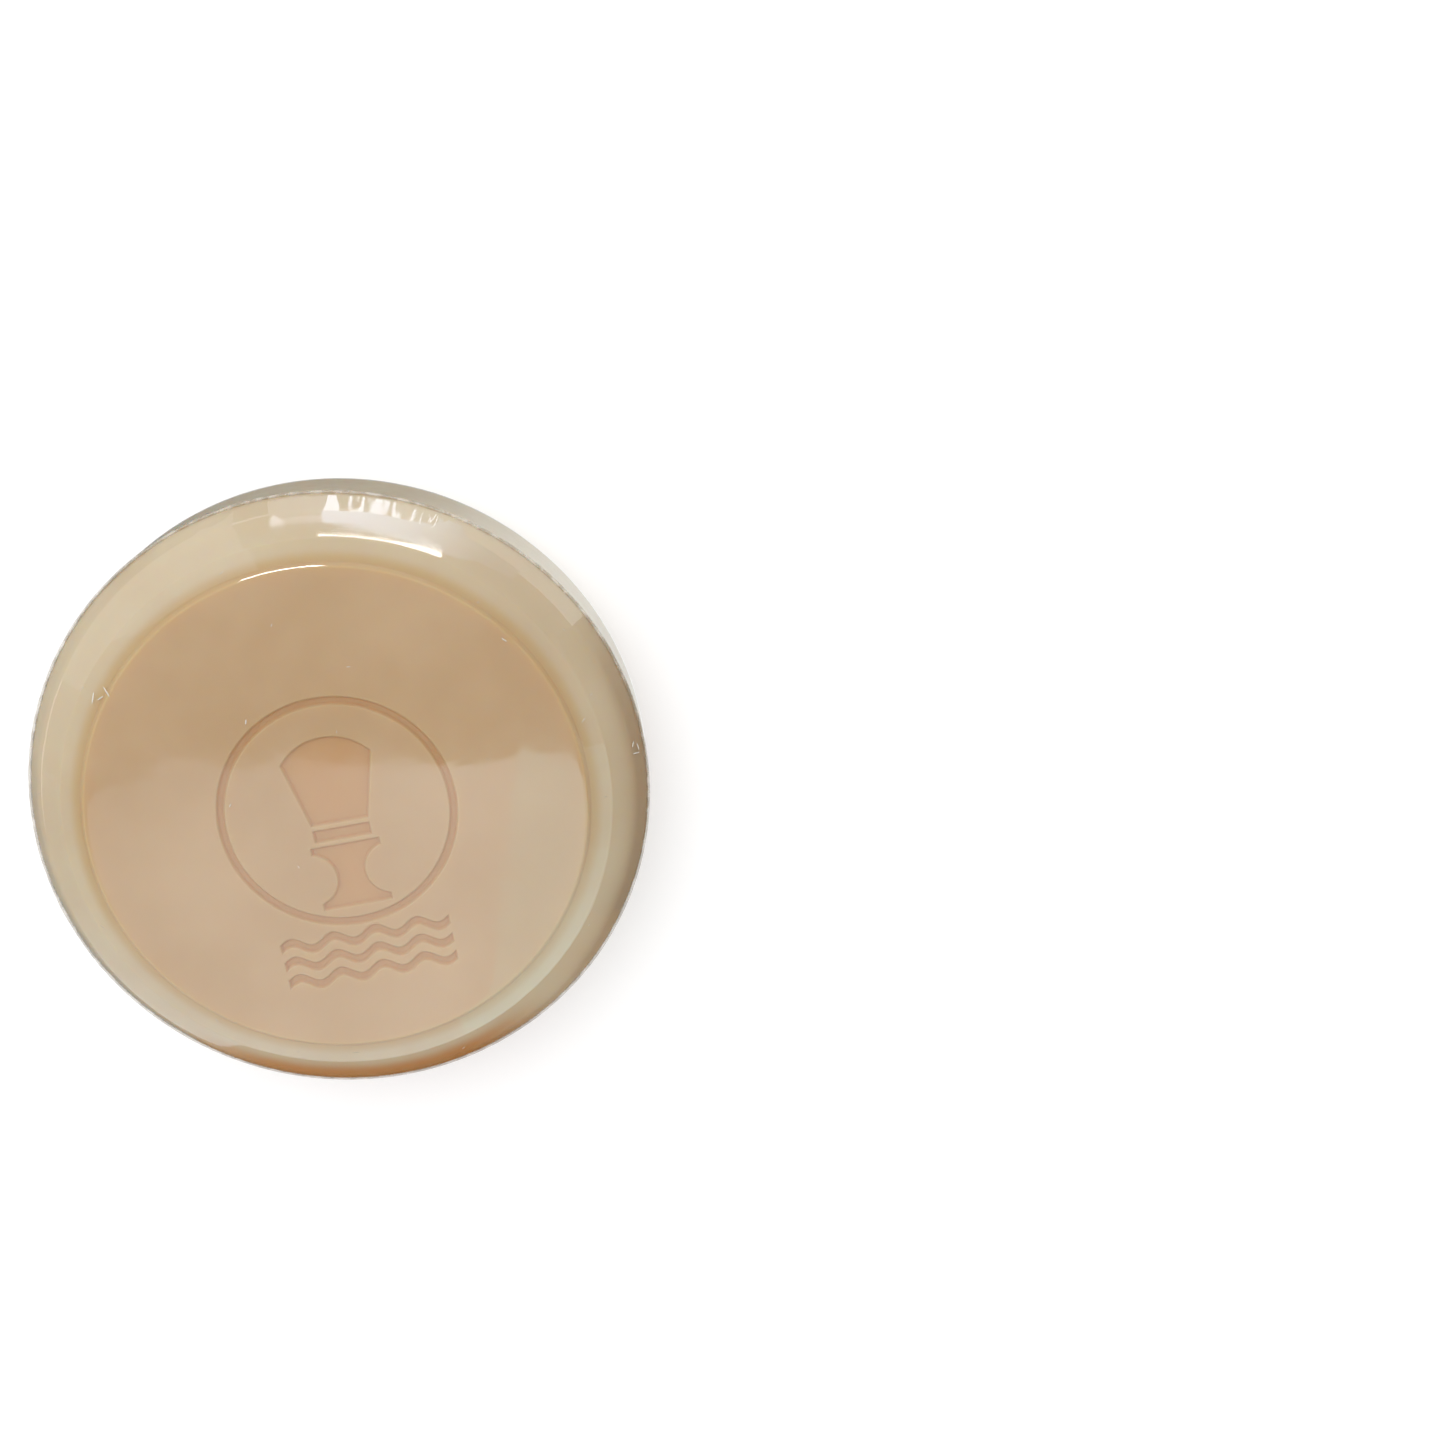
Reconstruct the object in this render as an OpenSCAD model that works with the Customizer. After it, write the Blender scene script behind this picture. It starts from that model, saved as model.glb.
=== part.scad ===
// Shaving soap puck in clear shrink film, lying flat with its marked face up.
// The soap is a round pressed cake with the same stepped and bevelled edge on both faces.
// Two film shells meet at a welded seam on the front rim of the waist band.
// Units are millimetres. The origin is under the centre of the puck, at its lowest plane.

/* [Soap cake] */
// Diameter of the soap across its waist band
soap_d = 70.8; // [68:0.2:76]
// Thickness of the soap from one face to the other
soap_h = 23; // [22:0.5:28]
// Height of the straight waist band
band_h = 10.5; // [8:0.5:11]
// Diameter of the raised flat face
face_d = 56.6; // [52:0.2:58]
// Depth of the step round the raised face
step_h = 0.6; // [0.3:0.1:0.8]
// Width of the step's sloping wall, seen from above
step_w = 0.4; // [0.2:0.1:0.6]
// Diameter of the ledge outside the step
ledge_d = 62.2; // [60:0.2:64]
// Fall of the ledge from the step to its outer edge
ledge_fall = 0.9; // [0.5:0.1:1.2]
// Diameter at the knee between the shoulder's two bevels
knee_d = 67.4; // [66.4:0.2:67.8]
// Height of the lower bevel, from the waist band to the knee
lower_bevel_h = 2.8; // [2.5:0.1:3]
// Radius that softens the edges of the face and the ledge
edge_r = 0.8; // [0.3:0.1:1]
// Radius that rounds the knee
knee_r = 4; // [1:0.5:4.5]
// Radius that rounds the rims of the waist band
rim_r = 3; // [1:0.5:3.5]

/* [Pressed mark] */
// Depth of the mark pressed into the front face
mark_depth = 0.4; // [0.2:0.1:1.2]
// Outside diameter of the mark's ring
ring_d = 27; // [24:0.5:29]
// Width of the ring's line
ring_line = 0.8; // [0.5:0.1:1.5]
// Distance from the centre of the face to the middle wave
wave_drop = 17.2; // [17:0.1:19]
// Length of each wave
wave_len = 19.5; // [12:0.5:21]
// Width of a wave's line
wave_line = 0.9; // [0.5:0.1:1.2]
// Distance from one wave to the next
wave_pitch = 2.2; // [1.8:0.1:2.4]
// Height of a wave above and below its middle line
wave_rise = 0.55; // [0.2:0.05:0.7]

/* [Film] */
// Thickness of the film
film_t = 0.1; // [0.05:0.05:0.2]
// How far the welded seam stands out of the film
seam_out = 0.2; // [0.1:0.05:0.25]
// Width of the welded seam on each side of its middle
seam_w = 0.3; // [0.2:0.05:0.5]

/* [Hidden] */
$fn = 128;
arc_steps = 5;
wave_count = 3;
wave_cycles = 4;
wave_steps = 48;
mid_z = soap_h / 2 + film_t;
seam_z = band_h / 2;
overcut = 1;

// Corners of one half of the soap, as [radius, height above the middle plane].
face_edge = [face_d / 2, soap_h / 2];
step_foot = [face_d / 2 + step_w, soap_h / 2 - step_h];
ledge_edge = [ledge_d / 2, soap_h / 2 - step_h - ledge_fall];
knee = [knee_d / 2, band_h / 2 + lower_bevel_h];
band_rim = [soap_d / 2, band_h / 2];

function unit(v) = v / norm(v);

// Arc of radius r that rounds the corner p of an outline coming from a and going on to b.
function rounded(a, p, b, r) =
    let (u = unit(a - p), v = unit(b - p))
    let (half = acos(u * v) / 2, sweep = 180 - 2 * half)
    let (centre = p + unit(u + v) * r / sin(half))
    let (first = p + u * r / tan(half) - centre, last = p + v * r / tan(half) - centre)
    [for (i = [0:arc_steps]) let (turn = sweep * i / arc_steps)
        centre + (sin(sweep - turn) * first + sin(turn) * last) / sin(sweep)];

// The same points mirrored through the middle plane, in the order that closes the outline.
function mirrored(points) = [for (i = [len(points) - 1:-1:0]) [points[i][0], -points[i][1]]];

// Front half of the soap's outline, from the middle of the face to the waist.
function soap_half() = concat(
    [[0, soap_h / 2]],
    rounded([0, soap_h / 2], face_edge, step_foot, edge_r / 2),
    [step_foot],
    rounded(step_foot, ledge_edge, knee, edge_r),
    rounded(ledge_edge, knee, band_rim, knee_r),
    rounded(knee, band_rim, [soap_d / 2, 0], rim_r)
);

// Front half of the outline of film lying on the soap, pushed out by t. The film bridges the step.
function film_half(t) = [
    [0, face_edge[1] + t],
    face_edge + [t, t],
    ledge_edge + [t, t],
    knee + [t, t],
    band_rim + [t, 0]
];

// A solid of revolution from one half outline, the same on both faces of the puck.
module turned(half_outline) {
    rotate_extrude() polygon(concat(half_outline, mirrored(half_outline)));
}

// A flat shape on the front face, cut down by the mark's depth.
module pressed() {
    translate([0, 0, soap_h / 2 - mark_depth]) linear_extrude(mark_depth + overcut) children();
}

module ring_shape() {
    difference() {
        circle(d = ring_d);
        circle(d = ring_d - 2 * ring_line);
    }
}

// A plain upright shaving brush: fanned bristles with a domed top, a collar and a waisted handle.
module brush_shape() {
    collar_w = 6.4;
    collar_h = 1.3;
    collar_y = -1.8;
    gap = 0.7;
    fan_w = 11.6;
    fan_h = 11;
    dome_d = 13;
    dome_drop = 2;
    handle_w = 7.8;
    handle_h = 7.4;
    waist_w = 3.2;
    notch_r = 3.1;
    intersection() {
        polygon([
            [-collar_w / 2, collar_y + gap], [collar_w / 2, collar_y + gap],
            [fan_w / 2, collar_y + fan_h], [-fan_w / 2, collar_y + fan_h]
        ]);
        translate([0, collar_y + gap + fan_h / 2 - dome_drop]) circle(d = dome_d);
    }
    translate([-collar_w / 2, collar_y - collar_h]) square([collar_w, collar_h]);
    translate([0, collar_y - collar_h - gap - handle_h]) difference() {
        translate([-handle_w / 2, 0]) square([handle_w, handle_h]);
        for (side = [-1, 1])
            translate([side * (waist_w / 2 + notch_r), handle_h / 2]) circle(r = notch_r);
    }
}

// One wavy line, as a strip of constant height that follows a sine.
module wave_shape() {
    function wave(i, offset) = let (s = i / wave_steps)
        [(s - 0.5) * wave_len, wave_rise * sin(360 * wave_cycles * s) + offset];
    polygon(concat(
        [for (i = [0:wave_steps]) wave(i, wave_line / 2)],
        [for (i = [wave_steps:-1:0]) wave(i, -wave_line / 2)]
    ));
}

module soap_puck() {
    color([0.80, 0.69, 0.55])
        translate([0, 0, mid_z]) difference() {
            turned(soap_half());
            pressed() ring_shape();
            pressed() brush_shape();
            for (i = [0:wave_count - 1])
                pressed() translate([0, -wave_drop + (i - (wave_count - 1) / 2) * wave_pitch]) wave_shape();
        }
}

// The whole film as one shell, before the seam divides it.
module film_shell() {
    difference() {
        turned(film_half(film_t));
        turned(film_half(0));
    }
}

// The part of the film between two heights above the middle plane.
module film_between(low, high) {
    translate([0, 0, mid_z]) intersection() {
        film_shell();
        translate([0, 0, low]) cylinder(r = soap_d, h = high - low);
    }
}

module front_film() {
    color([0.93, 0.95, 0.96, 0.35]) film_between(seam_z, soap_h);
}

module back_film() {
    color([0.90, 0.93, 0.95, 0.35]) film_between(-soap_h, seam_z);
}

// The welded bead that joins the two films round the front rim of the waist band.
module film_seam() {
    rim = band_rim + [film_t, 0];
    up_bevel = unit(knee + [film_t, film_t] - rim);
    color([0.86, 0.88, 0.88, 0.6])
        translate([0, 0, mid_z]) rotate_extrude() polygon([
            rim - [0, seam_w],
            rim + [seam_out, -seam_w / 2],
            rim + [seam_out, seam_w / 2],
            rim + seam_w * up_bevel,
            rim
        ]);
}

soap_puck();
back_film();
front_film();
film_seam();
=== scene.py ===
"""A shaving soap puck in clear shrink film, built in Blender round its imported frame.

The puck lies flat with its marked face up. The soap is one turned cake with a pressed mark. Two film
shells lie on it and meet at a crimped seam on the front rim of the waist. The scene is in metres. Sizes
in the classes are millimetres, as in the part's own drawing, unless a comment says otherwise.
"""

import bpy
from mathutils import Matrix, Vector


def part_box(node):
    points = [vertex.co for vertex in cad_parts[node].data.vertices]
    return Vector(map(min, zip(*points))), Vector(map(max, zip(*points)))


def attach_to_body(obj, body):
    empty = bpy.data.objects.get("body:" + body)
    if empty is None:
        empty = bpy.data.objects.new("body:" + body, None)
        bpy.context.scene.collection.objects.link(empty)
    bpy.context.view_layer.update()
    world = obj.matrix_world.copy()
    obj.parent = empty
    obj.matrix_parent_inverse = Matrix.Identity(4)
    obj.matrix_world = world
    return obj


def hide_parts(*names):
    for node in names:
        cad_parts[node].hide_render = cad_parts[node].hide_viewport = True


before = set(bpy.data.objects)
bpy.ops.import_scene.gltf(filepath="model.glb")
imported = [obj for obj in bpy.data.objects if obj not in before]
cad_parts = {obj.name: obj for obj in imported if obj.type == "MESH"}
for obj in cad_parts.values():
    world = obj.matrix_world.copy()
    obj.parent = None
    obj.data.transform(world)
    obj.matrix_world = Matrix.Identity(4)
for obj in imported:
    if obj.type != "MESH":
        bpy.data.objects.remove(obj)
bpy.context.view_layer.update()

import logging
import math
from dataclasses import asdict, dataclass, field, replace
from enum import Enum
from typing import Any, Callable, ClassVar, Optional, Sequence, Union

import bpy
import bmesh
import numpy as np
from mathutils import Matrix, Vector, geometry, noise

MM = 0.001
BODY = "root"
LOG = logging.getLogger("soap_puck")

Point = tuple[float, float]
Place = tuple[float, float, float]
Colour = tuple[float, float, float]
Span = tuple[float, float]
WHITE: Colour = (1.0, 1.0, 1.0)


# ---- Node trees


class Wire:
    """A socket in a node tree, on which plain arithmetic adds Math nodes."""

    def __init__(self, bench: "Bench", socket: Optional[bpy.types.NodeSocket]) -> None:
        """Keeps the socket and the bench that wires it.

        Args:
            bench: the tree that the socket is in.
            socket: an output socket, or None for a node that has no output.
        """
        self.bench = bench
        self.socket = socket

    def maths(self, operation: str, *values: Union["Wire", float]) -> "Wire":
        """Adds a Math node.

        Args:
            operation: the node's operation.
            values: what goes into its sockets, in order.

        Returns:
            The node's result.
        """
        return self.bench.node("ShaderNodeMath", {"operation": operation}, dict(enumerate(values)))

    def __add__(self, other: Union["Wire", float]) -> "Wire":
        """Adds."""
        return self.maths("ADD", self, other)

    def __radd__(self, other: float) -> "Wire":
        """Adds, with the number first."""
        return self.maths("ADD", other, self)

    def __sub__(self, other: Union["Wire", float]) -> "Wire":
        """Takes away."""
        return self.maths("SUBTRACT", self, other)

    def __rsub__(self, other: float) -> "Wire":
        """Takes this away from a number."""
        return self.maths("SUBTRACT", other, self)

    def __mul__(self, other: Union["Wire", float]) -> "Wire":
        """Multiplies."""
        return self.maths("MULTIPLY", self, other)

    def __rmul__(self, other: float) -> "Wire":
        """Multiplies, with the number first."""
        return self.maths("MULTIPLY", other, self)

    def __truediv__(self, other: Union["Wire", float]) -> "Wire":
        """Divides."""
        return self.maths("DIVIDE", self, other)

    def __rtruediv__(self, other: float) -> "Wire":
        """Divides a number by this."""
        return self.maths("DIVIDE", other, self)

    def __pow__(self, other: float) -> "Wire":
        """Raises to a power."""
        return self.maths("POWER", self, other)

    def floor(self) -> "Wire":
        """Rounds down."""
        return self.maths("FLOOR", self)

    def sin(self) -> "Wire":
        """Sine of an angle in radians."""
        return self.maths("SINE", self)

    def cos(self) -> "Wire":
        """Cosine of an angle in radians."""
        return self.maths("COSINE", self)

    def abs(self) -> "Wire":
        """Size without the sign."""
        return self.maths("ABSOLUTE", self)

    def ramp(self, low: float, high: float, start: float = 0.0, end: float = 1.0) -> "Wire":
        """Goes smoothly from start to end while the value goes from low to high, and stays inside them.

        Args:
            low: the value that gives start.
            high: the value that gives end.
            start: the first result.
            end: the last result.

        Returns:
            The result.
        """
        return self.bench.node(
            "ShaderNodeMapRange",
            {"interpolation_type": "SMOOTHSTEP"},
            {"Value": self, "From Min": low, "From Max": high, "To Min": start, "To Max": end},
        )


Value = Union[Wire, float, int, str, Sequence[float], Any]


class Bench:
    """A node tree being written."""

    def __init__(self, tree: bpy.types.NodeTree) -> None:
        """Takes an empty tree.

        Args:
            tree: the tree that the nodes go into.
        """
        self.tree = tree

    def node(
        self, kind: str, settings: Optional[dict[str, Any]] = None,
        sockets: Optional[dict[Union[int, str], Value]] = None, out: Union[int, str] = 0,
    ) -> Wire:
        """Makes any node.

        Args:
            kind: the node's type.
            settings: its settings, which are set first.
            sockets: values or wires for its inputs, by name or number.
            out: the output that is wanted, by name or by number among those in use.

        Returns:
            That output, as a wire.
        """
        node = self.tree.nodes.new(kind)
        for name, value in (settings or {}).items():
            setattr(node, name, value)
        for name, value in (sockets or {}).items():
            self.feed(node, name, value)
        usable = [socket for socket in node.outputs if socket.enabled]
        if not usable:
            return Wire(self, None)
        if isinstance(out, str):
            return Wire(self, next(socket for socket in usable if socket.name == out))
        return Wire(self, usable[out])

    def feed(self, node: bpy.types.Node, name: Union[int, str], value: Value) -> None:
        """Sets or links one input of a node.

        Args:
            node: the node.
            name: the input's name, or its number among all the node's inputs.
            value: a wire, or a plain value.
        """
        if isinstance(name, str):
            socket = next(s for s in node.inputs if s.name == name and s.enabled)
        else:
            socket = node.inputs[name]
        if isinstance(value, Wire):
            self.tree.links.new(value.socket, socket)
        else:
            socket.default_value = value

    def mix(self, amount: Value, first: Value, second: Value) -> Wire:
        """Mixes two colours.

        Args:
            amount: 0 gives the first, and 1 gives the second.
            first: a colour.
            second: a colour.

        Returns:
            The mixed colour.
        """
        return self.node("ShaderNodeMix", {"data_type": "RGBA"}, {0: amount, 6: rgba(first), 7: rgba(second)})

    def vector(self, operation: str, *values: Value) -> Wire:
        """Adds a Vector Math node.

        Args:
            operation: its operation.
            values: what goes into its sockets, in order.

        Returns:
            The result.
        """
        sockets = {0: values[0], 3: values[1]} if operation == "SCALE" else dict(enumerate(values))
        return self.node("ShaderNodeVectorMath", {"operation": operation}, sockets)

    def cloud(self, place: Wire, scale: Value, **more: Value) -> Wire:
        """Adds a noise texture, in four dimensions when W is given.

        Args:
            place: where the noise is read.
            scale: how fine it is.
            more: its other inputs, by name.

        Returns:
            The noise, from 0 to 1.
        """
        settings = {"noise_dimensions": "4D"} if "W" in more else None
        return self.node("ShaderNodeTexNoise", settings, {"Vector": place, "Scale": scale, **more})

    def here(self) -> Wire:
        """The place on the piece, in its own coordinates."""
        return self.node("ShaderNodeTexCoord", None, None, "Object")

    def part_of(self, vector: Wire, axis: str) -> Wire:
        """One coordinate of a vector, by its axis' name."""
        return self.node("ShaderNodeSeparateXYZ", None, {0: vector}, axis)


def rgba(colour: Value) -> Value:
    """A colour with full alpha, or the wire that it already is."""
    return colour if isinstance(colour, Wire) else (*colour, 1.0)


def linear(red: int, green: int, blue: int) -> Colour:
    """Turns a colour of 0 to 255 into the renderer's linear numbers.

    Args:
        red: the red part.
        green: the green part.
        blue: the blue part.

    Returns:
        The linear colour.
    """
    def one(part: int) -> float:
        """The same for one part."""
        share = part / 255
        return share / 12.92 if share <= 0.04045 else ((share + 0.055) / 1.055) ** 2.4

    return one(red), one(green), one(blue)


# ---- Meshes


def linked(name: str, data: Any) -> bpy.types.Object:
    """Makes an object and links it to the scene.

    Args:
        name: the object's name.
        data: its mesh, light or camera.

    Returns:
        The object.
    """
    made = bpy.data.objects.new(name, data)
    bpy.context.scene.collection.objects.link(made)
    return made


def mesh_of(name: str, points: Sequence[Place], faces: Sequence[Sequence[int]] = ()) -> bpy.types.Object:
    """Makes a mesh object from points and faces.

    Args:
        name: the object's name.
        points: the points, in metres.
        faces: the faces, each as its points' numbers.

    Returns:
        The object, linked to the scene.
    """
    mesh = bpy.data.meshes.new(name)
    mesh.from_pydata(points, [], faces)
    return linked(name, mesh)


def note(mesh: bpy.types.Mesh, label: str, rows: Any) -> None:
    """Stores a number or a vector on each point of a mesh.

    Args:
        mesh: the mesh.
        label: the attribute's name.
        rows: one number or one vector for each point.
    """
    values = np.asarray(rows, np.float32)
    kind, key = ("FLOAT", "value") if values.ndim == 1 else ("FLOAT_VECTOR", "vector")
    mesh.attributes.new(label, kind, "POINT").data.foreach_set(key, values.ravel())


def set_outward(piece: bpy.types.Object) -> None:
    """Turns a closed mesh the right way round if its volume comes out below zero.

    Args:
        piece: the mesh object.
    """
    work = bmesh.new()
    work.from_mesh(piece.data)
    if work.calc_volume(signed=True) < 0:
        bmesh.ops.reverse_faces(work, faces=work.faces)
    work.to_mesh(piece.data)
    work.free()


# ---- Sizes


@dataclass(frozen=True)
class PuckSizes:
    """The puck's sizes. Those without a value are read off the frame, and the rest are the part's own."""

    soap_d: float
    soap_h: float
    film_t: float
    band_h: float = 10.5
    face_d: float = 56.6
    step_h: float = 0.6
    step_w: float = 0.4
    ledge_d: float = 62.2
    ledge_fall: float = 0.9
    knee_d: float = 67.4
    lower_bevel_h: float = 2.8
    edge_r: float = 0.8
    foot_r: float = 0.25
    knee_r: float = 4.0
    rim_r: float = 3.0

    @classmethod
    def from_frame(cls) -> "PuckSizes":
        """Reads the soap's diameter, its height and the film under it off the frame's soap node.

        Returns:
            The sizes.
        """
        low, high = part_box("soap_puck")
        read = (high[0] - low[0], high[2] - low[2], low[2])
        return cls(*(round(size / MM, 1) for size in read))

    @property
    def mid_z(self) -> float:
        """Height of the middle plane over the floor."""
        return self.soap_h / 2 + self.film_t

    @property
    def rim_z(self) -> float:
        """Height of the waist's front rim over the middle plane."""
        return self.band_h / 2

    def corners(self) -> dict[str, Point]:
        """The front half's corners.

        Returns:
            Each corner by name, as radius and height over the middle plane.
        """
        top = self.soap_h / 2
        return {
            "face": (self.face_d / 2, top),
            "foot": (self.face_d / 2 + self.step_w, top - self.step_h),
            "ledge": (self.ledge_d / 2, top - self.step_h - self.ledge_fall),
            "knee": (self.knee_d / 2, self.rim_z + self.lower_bevel_h),
            "rim": (self.soap_d / 2, self.rim_z),
        }


@dataclass(frozen=True)
class MarkSizes:
    """The pressed mark's sizes, the same as the part's."""

    depth: float = 0.4
    ring_d: float = 27.0
    ring_line: float = 0.8
    wave_drop: float = 17.2
    wave_len: float = 19.5
    wave_line: float = 0.9
    wave_pitch: float = 2.2
    wave_rise: float = 0.55
    wave_count: int = 3
    wave_cycles: int = 4
    collar_w: float = 6.4
    collar_h: float = 1.3
    collar_y: float = -1.8
    gap: float = 0.7
    fan_w: float = 11.6
    fan_h: float = 11.0
    dome_d: float = 13.0
    dome_drop: float = 2.0
    handle_w: float = 7.8
    handle_h: float = 7.4
    waist_w: float = 3.2
    notch_r: float = 3.1


# ---- Outlines that are turned about the puck's axis


def rounded(before: Point, corner: Point, after: Point, radius: float, steps: int) -> list[Point]:
    """Rounds one corner of an outline.

    Args:
        before: the corner before it.
        corner: the corner that is rounded.
        after: the corner after it.
        radius: the radius of the rounding.
        steps: how many pieces the arc has.

    Returns:
        The arc's points.
    """
    p = np.array(corner)
    u, v = np.array(before) - p, np.array(after) - p
    u, v = u / np.linalg.norm(u), v / np.linalg.norm(v)
    half = math.acos(float(np.clip(u @ v, -1, 1))) / 2
    sweep = math.pi - 2 * half
    middle = (u + v) / np.linalg.norm(u + v)
    centre = p + middle * radius / math.sin(half)
    first, last = p + u * radius / math.tan(half) - centre, p + v * radius / math.tan(half) - centre
    turns = [sweep * i / steps for i in range(steps + 1)]
    return [
        tuple(centre + (math.sin(sweep - t) * first + math.sin(t) * last) / math.sin(sweep)) for t in turns
    ]


def filled(points: Sequence[Point], spacing: float) -> list[Point]:
    """Adds points so that no two neighbours are further apart than the spacing.

    Args:
        points: an outline.
        spacing: the greatest distance.

    Returns:
        The finer outline.
    """
    fine = [tuple(points[0])]
    for a, b in zip(points, points[1:]):
        parts = max(1, math.ceil(math.dist(a, b) / spacing))
        step = ((b[0] - a[0]) / parts, (b[1] - a[1]) / parts)
        fine += [(a[0] + step[0] * i, a[1] + step[1] * i) for i in range(1, parts + 1)]
    return fine


def mirrored(points: Sequence[Point]) -> list[Point]:
    """The outline mirrored through the middle plane, in the order that goes on with it."""
    return [(r, -z) for r, z in reversed(points)]


def shift(corner: Point, distance: float) -> Point:
    """Moves a corner outwards and up by one distance."""
    return corner[0] + distance, corner[1] + distance


def outward(points: Sequence[Point]) -> np.ndarray:
    """Unit normals of an outline that runs from the front's axis over the rim.

    Args:
        points: the outline.

    Returns:
        One normal for each point, pointing away from the soap.
    """
    p = np.array(points, float)
    along = np.gradient(p, axis=0)
    normal = np.stack([-along[:, 1], along[:, 0]], 1)
    return normal / np.maximum(np.linalg.norm(normal, axis=1, keepdims=True), 1e-12)


def between(value: float, low: float, high: float) -> float:
    """Goes smoothly from 0 at low to 1 at high."""
    t = min(1.0, max(0.0, (value - low) / (high - low)))
    return t * t * (3 - 2 * t)


@dataclass
class Outline:
    """An outline to be turned, as radius and height over the middle plane.

    The two rules say how much each of its points takes part in the ripples and in the gathers.
    """

    points: list[Point]
    normals: np.ndarray
    loose: Callable[[float, float], float] = lambda radius, height: 0.0
    gathered: Callable[[float, float], float] = lambda radius, height: 0.0

    def mesh(self, name: str, mid_z: float) -> bpy.types.Object:
        """Makes the outline as a mesh of points, in metres, which a geometry tree turns.

        Args:
            name: the object's name.
            mid_z: height of the middle plane.

        Returns:
            The object, linked to the scene.
        """
        made = mesh_of(name, [(r * MM, 0.0, (z + mid_z) * MM) for r, z in self.points])
        note(made.data, "away", [(r, 0.0, z) for r, z in self.normals])
        note(made.data, "loose", [self.loose(r, z) for r, z in self.points])
        note(made.data, "gathered", [self.gathered(r, z) for r, z in self.points])
        return made


# ---- Geometry trees


@dataclass(frozen=True)
class TurnedSettings:
    """What the turning tree is given. Lengths are metres, and turns are radians."""

    segments: int = 660
    wave_height: float = 0.00002
    wave_width: float = 0.008
    gather_depth: float = 0.00015
    gather_count: float = 105.0
    gather_turn: float = 1.22
    swell: float = 0.00035
    swell_turn: float = 2.17
    seed: float = 3.0

    def inputs(self) -> dict[str, Union[int, float]]:
        """The settings by the names of the tree's inputs, such as Wave height."""
        return {name.replace("_", " ").capitalize(): value for name, value in asdict(self).items()}


class GeometryTree:
    """A geometry node tree with named inputs, which is run on an object and leaves a plain mesh."""

    def __init__(self, name: str, inputs: dict[str, Union[int, float]]) -> None:
        """Makes the tree and its inputs, and one more input for the finish.

        Args:
            name: the tree's name.
            inputs: the value of each input, by name.
        """
        self.tree = bpy.data.node_groups.new(name, "GeometryNodeTree")
        self.bench = Bench(self.tree)
        face = self.tree.interface
        face.new_socket("Geometry", in_out="INPUT", socket_type="NodeSocketGeometry")
        face.new_socket("Geometry", in_out="OUTPUT", socket_type="NodeSocketGeometry")
        for label, value in inputs.items():
            kind = "NodeSocketInt" if isinstance(value, int) else "NodeSocketFloat"
            face.new_socket(label, in_out="INPUT", socket_type=kind).default_value = value
        face.new_socket("Finish", in_out="INPUT", socket_type="NodeSocketMaterial")
        self.start = self.tree.nodes.new("NodeGroupInput")
        self.end = self.tree.nodes.new("NodeGroupOutput")

    def given(self, name: str) -> Wire:
        """The wire of one of the tree's inputs."""
        return Wire(self.bench, self.start.outputs[name])

    def noted(self, kind: str, label: str) -> Wire:
        """An attribute that was stored on the points, by its data type and its name."""
        return self.bench.node("GeometryNodeInputNamedAttribute", {"data_type": kind}, {"Name": label})

    def close(self, result: Wire) -> None:
        """Ends the tree: instances become real, and the pieces take the finish.

        Args:
            result: the geometry that comes out.
        """
        real = self.bench.node("GeometryNodeRealizeInstances", None, {"Geometry": result})
        dressed = self.bench.node(
            "GeometryNodeSetMaterial", None, {"Geometry": real, "Material": self.given("Finish")}
        )
        self.bench.feed(self.end, "Geometry", dressed)

    def run(self, carrier: bpy.types.Object, name: str, values: dict[str, Any]) -> bpy.types.Object:
        """Runs the tree on an object and returns the result as a plain mesh object.

        Args:
            carrier: the object whose mesh the tree starts from. It is removed.
            name: the new object's name.
            values: values for the tree's inputs, by name.

        Returns:
            The new object, at the origin.
        """
        modifier = carrier.modifiers.new("shape", "NODES")
        modifier.node_group = self.tree
        for item in self.tree.interface.items_tree:
            if item.in_out == "INPUT" and item.name in values:
                modifier[item.identifier] = values[item.name]
        carrier.update_tag()
        bpy.context.view_layer.update()
        graph = bpy.context.evaluated_depsgraph_get()
        mesh = bpy.data.meshes.new_from_object(carrier.evaluated_get(graph), depsgraph=graph)
        carrier.modifiers.remove(modifier)
        bpy.data.objects.remove(carrier)
        mesh.name = name
        return linked(name, mesh)


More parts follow.
